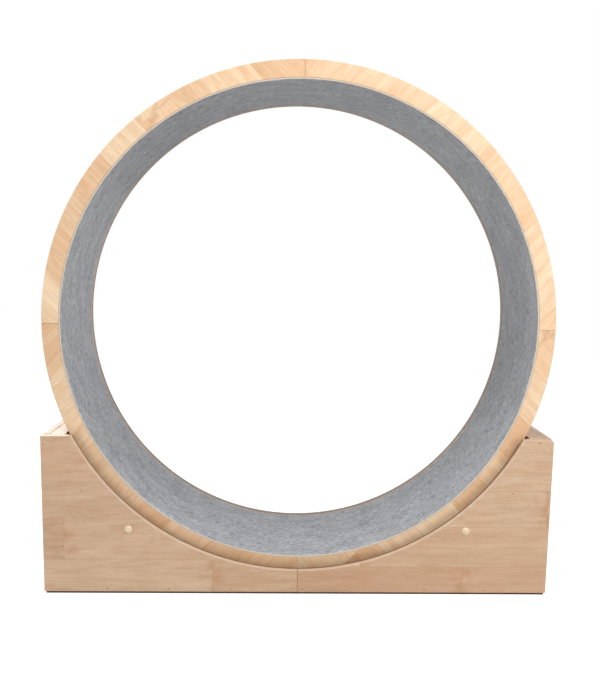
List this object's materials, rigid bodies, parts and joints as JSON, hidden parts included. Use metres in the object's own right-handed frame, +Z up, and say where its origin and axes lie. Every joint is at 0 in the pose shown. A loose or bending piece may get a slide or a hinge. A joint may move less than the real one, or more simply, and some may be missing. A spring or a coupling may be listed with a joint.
{
  "type": "cat exercise wheel",
  "caption": "Carpeted running wheel for a cat between two timber rings, standing on grooved rollers in a low timber base.",
  "frame": {"origin": "on the floor, under the middle of the object's bounding box, half way between the front and rear panels and below the wheel's axis", "axes": "+Z up, -Y towards the front, +Y along the wheel's axis towards the rear, +X to the right as seen from the front"},
  "size_m": [1.1002, 0.3396, 1.1363],
  "materials": {
    "base_board": "pale laminated timber boards, satin lacquer",
    "ring_board": "pale laminated timber boards, satin lacquer",
    "deck_plywood": "bent plywood, sanded",
    "batten_timber": "planed timber, uncoated",
    "carpet": "mottled grey needle-felt carpet",
    "foot_rubber": "dark moulded rubber strip",
    "roller_nylon": "off-white moulded nylon",
    "axle_steel": "bright zinc-plated steel",
    "cap_plastic": "moulded plastic in a pale timber colour"
  },
  "bodies": {
    "base": {"front_panel_left": "base_board", "front_panel_right": "base_board", "rear_panel_left": "base_board", "rear_panel_right": "base_board", "end_board_left": "base_board", "end_board_right": "base_board", "top_board_left": "base_board", "top_board_right": "base_board", "bottom_board_left": "base_board", "bottom_board_right": "base_board", "inner_brace_left": "batten_timber", "inner_brace_right": "batten_timber", "joining_cleat": "batten_timber", "foot_strip_front": "foot_rubber", "foot_strip_rear": "foot_rubber", "axle_rod_left": "axle_steel", "axle_rod_right": "axle_steel", "spacer_tube_left": "axle_steel", "spacer_tube_right": "axle_steel", "axle_bush_front_left": "axle_steel", "axle_bush_front_right": "axle_steel", "axle_bush_rear_left": "axle_steel", "axle_bush_rear_right": "axle_steel", "axle_nut_front_left": "axle_steel", "axle_nut_front_right": "axle_steel", "axle_nut_rear_left": "axle_steel", "axle_nut_rear_right": "axle_steel", "axle_cap_front_left": "cap_plastic", "axle_cap_front_right": "cap_plastic", "axle_cap_rear_left": "cap_plastic", "axle_cap_rear_right": "cap_plastic"},
    "wheel": {"front_ring_upper_right": "ring_board", "front_ring_upper_left": "ring_board", "front_ring_lower_left": "ring_board", "front_ring_lower_right": "ring_board", "rear_ring_upper_right": "ring_board", "rear_ring_upper_left": "ring_board", "rear_ring_lower_left": "ring_board", "rear_ring_lower_right": "ring_board", "deck_panel_top": "deck_plywood", "deck_panel_left": "deck_plywood", "deck_panel_bottom": "deck_plywood", "deck_panel_right": "deck_plywood", "running_carpet": "carpet", "cross_batten_1": "batten_timber", "cross_batten_2": "batten_timber", "cross_batten_3": "batten_timber", "cross_batten_4": "batten_timber", "cross_batten_5": "batten_timber", "cross_batten_6": "batten_timber", "cross_batten_7": "batten_timber", "cross_batten_8": "batten_timber"},
    "front_left_roller": {"roller_front_left": "roller_nylon", "bearing_front_left": "axle_steel"},
    "front_right_roller": {"roller_front_right": "roller_nylon", "bearing_front_right": "axle_steel"},
    "rear_left_roller": {"roller_rear_left": "roller_nylon", "bearing_rear_left": "axle_steel"},
    "rear_right_roller": {"roller_rear_right": "roller_nylon", "bearing_rear_right": "axle_steel"}
  },
  "joints": [
    {"name": "wheel_spin", "type": "hinge", "parent": "base", "child": "wheel", "pos_m": [0, 0, 0.5863], "axis": [0, 1, 0], "continuous": true},
    {"name": "front_left_roller_spin", "type": "hinge", "parent": "base", "child": "front_left_roller", "pos_m": [-0.36685, -0.1275, 0.146], "axis": [0, 1, 0], "continuous": true},
    {"name": "front_right_roller_spin", "type": "hinge", "parent": "base", "child": "front_right_roller", "pos_m": [0.36685, -0.1275, 0.146], "axis": [0, 1, 0], "continuous": true},
    {"name": "rear_left_roller_spin", "type": "hinge", "parent": "base", "child": "rear_left_roller", "pos_m": [-0.36685, 0.1275, 0.146], "axis": [0, 1, 0], "continuous": true},
    {"name": "rear_right_roller_spin", "type": "hinge", "parent": "base", "child": "rear_right_roller", "pos_m": [0.36685, 0.1275, 0.146], "axis": [0, 1, 0], "continuous": true}
  ],
  "couplings": [
    {"joint": "front_left_roller_spin", "follows": "wheel_spin", "ratio": -23.913},
    {"joint": "front_right_roller_spin", "follows": "wheel_spin", "ratio": -23.913},
    {"joint": "rear_left_roller_spin", "follows": "wheel_spin", "ratio": -23.913},
    {"joint": "rear_right_roller_spin", "follows": "wheel_spin", "ratio": -23.913}
  ]
}
